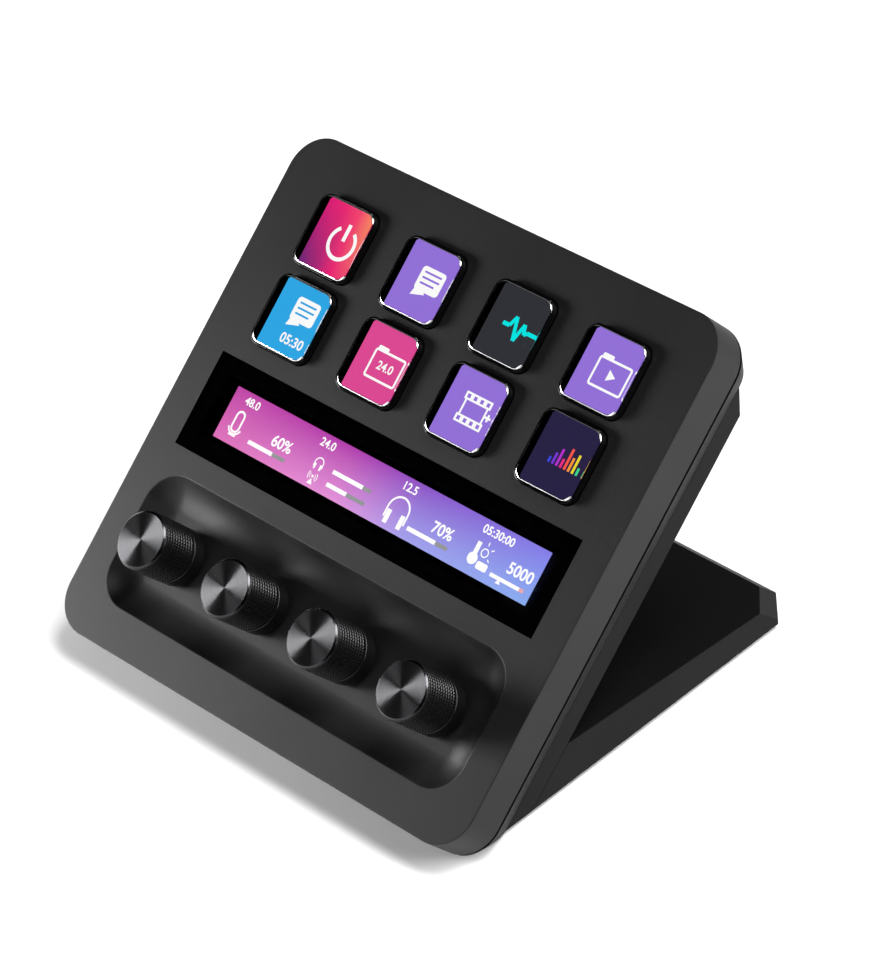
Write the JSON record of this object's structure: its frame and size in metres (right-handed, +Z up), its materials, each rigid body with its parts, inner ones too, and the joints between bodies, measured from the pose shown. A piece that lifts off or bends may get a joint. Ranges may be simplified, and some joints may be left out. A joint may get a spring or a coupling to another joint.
{
  "type": "macro keypad with dials",
  "caption": "Desk keypad with clear display keys, a touch strip and push dials in a scooped dish, tilted on a fixed leg and foot.",
  "frame": {"origin": "under the middle of the part's bounding box, on the desk", "axes": "+Z up, +X to the user's right, +Y to the rear, away from the user"},
  "size_m": [0.14, 0.1192, 0.0954],
  "materials": {
    "cover_plastic": "fine moulded grain, dark grey",
    "housing_plastic": "fine moulded grain, near black",
    "stand_plastic": "fine moulded grain, near black",
    "window_glass": "polished cover glass",
    "sensor_glass": "clear touch film on glass",
    "display_glass": "dark display face",
    "backlight_film": "white tray",
    "ribbon_film": "amber film",
    "membrane_rubber": "matt black",
    "chassis_plastic": "moulded black",
    "board_laminate": "dark green laminate",
    "socket_steel": "plated shell",
    "plate_steel": "plain sheet",
    "screw_steel": "dark plated",
    "foot_rubber": "soft matt",
    "switch_plastic": "moulded",
    "key_lens": "clear polished acrylic",
    "key_skirt": "polished black",
    "encoder_plastic": "moulded",
    "rotor_plastic": "moulded",
    "shaft_metal": "plain turned",
    "knob_plastic": "knurled black",
    "knob_cap_metal": "spun, black anodised"
  },
  "bodies": {
    "casing": {"front_cover": "cover_plastic", "window_glass": "window_glass", "touch_sensor": "sensor_glass", "display_panel": "display_glass", "backlight": "backlight_film", "display_ribbon": "ribbon_film", "key_membrane": "membrane_rubber", "chassis": "chassis_plastic", "main_board": "board_laminate", "usb_c_socket": "socket_steel", "rear_housing": "housing_plastic", "stand_leg": "stand_plastic", "stand_foot": "stand_plastic", "base_plate": "plate_steel", "rubber_feet": "foot_rubber", "chassis_screws": "screw_steel", "board_screws": "screw_steel", "housing_screws": "screw_steel", "leg_screws": "screw_steel", "foot_screws": "screw_steel", "base_screws": "screw_steel", "press_switches": "switch_plastic", "encoder_housing_1": "encoder_plastic", "encoder_housing_2": "encoder_plastic", "encoder_housing_3": "encoder_plastic", "encoder_housing_4": "encoder_plastic"},
    "key_1": {"key_lens_1": "key_lens", "key_skirt_1": "key_skirt"},
    "key_2": {"key_lens_2": "key_lens", "key_skirt_2": "key_skirt"},
    "key_3": {"key_lens_3": "key_lens", "key_skirt_3": "key_skirt"},
    "key_4": {"key_lens_4": "key_lens", "key_skirt_4": "key_skirt"},
    "key_5": {"key_lens_5": "key_lens", "key_skirt_5": "key_skirt"},
    "key_6": {"key_lens_6": "key_lens", "key_skirt_6": "key_skirt"},
    "key_7": {"key_lens_7": "key_lens", "key_skirt_7": "key_skirt"},
    "key_8": {"key_lens_8": "key_lens", "key_skirt_8": "key_skirt"},
    "dial_rotor_1": {"encoder_rotor_1": "rotor_plastic"},
    "dial_1": {"encoder_shaft_1": "shaft_metal", "knob_body_1": "knob_plastic", "knob_cap_1": "knob_cap_metal"},
    "dial_rotor_2": {"encoder_rotor_2": "rotor_plastic"},
    "dial_2": {"encoder_shaft_2": "shaft_metal", "knob_body_2": "knob_plastic", "knob_cap_2": "knob_cap_metal"},
    "dial_rotor_3": {"encoder_rotor_3": "rotor_plastic"},
    "dial_3": {"encoder_shaft_3": "shaft_metal", "knob_body_3": "knob_plastic", "knob_cap_3": "knob_cap_metal"},
    "dial_rotor_4": {"encoder_rotor_4": "rotor_plastic"},
    "dial_4": {"encoder_shaft_4": "shaft_metal", "knob_body_4": "knob_plastic", "knob_cap_4": "knob_cap_metal"}
  },
  "joints": [
    {"name": "key_press_1", "type": "slide", "parent": "casing", "child": "key_1", "axis": [0, 0.6428, -0.766], "range_m": [0, 0.0009], "stiffness_N_per_m": 400, "springref_m": -0.0006},
    {"name": "key_press_2", "type": "slide", "parent": "casing", "child": "key_2", "axis": [0, 0.6428, -0.766], "range_m": [0, 0.0009], "stiffness_N_per_m": 400, "springref_m": -0.0006},
    {"name": "key_press_3", "type": "slide", "parent": "casing", "child": "key_3", "axis": [0, 0.6428, -0.766], "range_m": [0, 0.0009], "stiffness_N_per_m": 400, "springref_m": -0.0006},
    {"name": "key_press_4", "type": "slide", "parent": "casing", "child": "key_4", "axis": [0, 0.6428, -0.766], "range_m": [0, 0.0009], "stiffness_N_per_m": 400, "springref_m": -0.0006},
    {"name": "key_press_5", "type": "slide", "parent": "casing", "child": "key_5", "axis": [0, 0.6428, -0.766], "range_m": [0, 0.0009], "stiffness_N_per_m": 400, "springref_m": -0.0006},
    {"name": "key_press_6", "type": "slide", "parent": "casing", "child": "key_6", "axis": [0, 0.6428, -0.766], "range_m": [0, 0.0009], "stiffness_N_per_m": 400, "springref_m": -0.0006},
    {"name": "key_press_7", "type": "slide", "parent": "casing", "child": "key_7", "axis": [0, 0.6428, -0.766], "range_m": [0, 0.0009], "stiffness_N_per_m": 400, "springref_m": -0.0006},
    {"name": "key_press_8", "type": "slide", "parent": "casing", "child": "key_8", "axis": [0, 0.6428, -0.766], "range_m": [0, 0.0009], "stiffness_N_per_m": 400, "springref_m": -0.0006},
    {"name": "dial_turn_1", "type": "hinge", "parent": "casing", "child": "dial_rotor_1", "pos_m": [-0.0448, -0.03302, 0.02096], "axis": [0, -0.6428, 0.766], "continuous": true},
    {"name": "dial_press_1", "type": "slide", "parent": "dial_rotor_1", "child": "dial_1", "axis": [0, 0.6428, -0.766], "range_m": [0, 0.0005], "stiffness_N_per_m": 2000, "springref_m": -0.0005},
    {"name": "dial_turn_2", "type": "hinge", "parent": "casing", "child": "dial_rotor_2", "pos_m": [-0.01494, -0.03302, 0.02096], "axis": [0, -0.6428, 0.766], "continuous": true},
    {"name": "dial_press_2", "type": "slide", "parent": "dial_rotor_2", "child": "dial_2", "axis": [0, 0.6428, -0.766], "range_m": [0, 0.0005], "stiffness_N_per_m": 2000, "springref_m": -0.0005},
    {"name": "dial_turn_3", "type": "hinge", "parent": "casing", "child": "dial_rotor_3", "pos_m": [0.01494, -0.03302, 0.02096], "axis": [0, -0.6428, 0.766], "continuous": true},
    {"name": "dial_press_3", "type": "slide", "parent": "dial_rotor_3", "child": "dial_3", "axis": [0, 0.6428, -0.766], "range_m": [0, 0.0005], "stiffness_N_per_m": 2000, "springref_m": -0.0005},
    {"name": "dial_turn_4", "type": "hinge", "parent": "casing", "child": "dial_rotor_4", "pos_m": [0.0448, -0.03302, 0.02096], "axis": [0, -0.6428, 0.766], "continuous": true},
    {"name": "dial_press_4", "type": "slide", "parent": "dial_rotor_4", "child": "dial_4", "axis": [0, 0.6428, -0.766], "range_m": [0, 0.0005], "stiffness_N_per_m": 2000, "springref_m": -0.0005}
  ]
}
